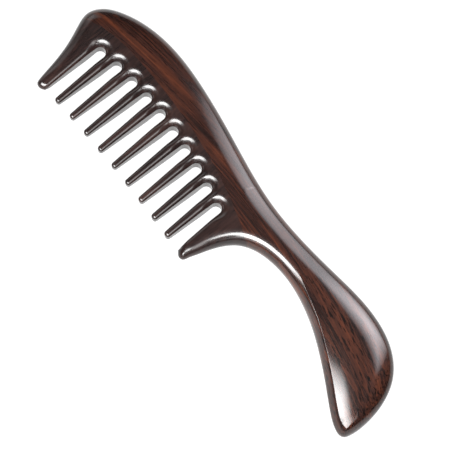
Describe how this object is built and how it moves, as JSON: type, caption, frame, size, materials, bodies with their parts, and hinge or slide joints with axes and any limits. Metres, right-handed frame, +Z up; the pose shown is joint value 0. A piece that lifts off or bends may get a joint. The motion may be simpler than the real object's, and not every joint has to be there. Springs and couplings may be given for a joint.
{
  "type": "wide tooth comb",
  "caption": "Wooden comb with widely spaced rounded teeth set into a curved back that runs on into a swelling palm grip.",
  "frame": {"origin": "under the middle of the comb's outline, on the surface that it lies on", "axes": "+X along the comb from its head to the end of its handle, teeth pointing along -Y, +Z up out of the upper face"},
  "size_m": [0.195, 0.0516, 0.012],
  "materials": {
    "grip_wood": "gloss",
    "tooth_wood": "gloss"
  },
  "bodies": {
    "root": {"back_handle": "grip_wood", "guard_tooth_left": "tooth_wood", "tooth_1": "tooth_wood", "tooth_2": "tooth_wood", "tooth_3": "tooth_wood", "tooth_4": "tooth_wood", "tooth_5": "tooth_wood", "tooth_6": "tooth_wood", "tooth_7": "tooth_wood", "tooth_8": "tooth_wood", "tooth_9": "tooth_wood", "guard_tooth_right": "tooth_wood"}
  },
  "joints": []
}
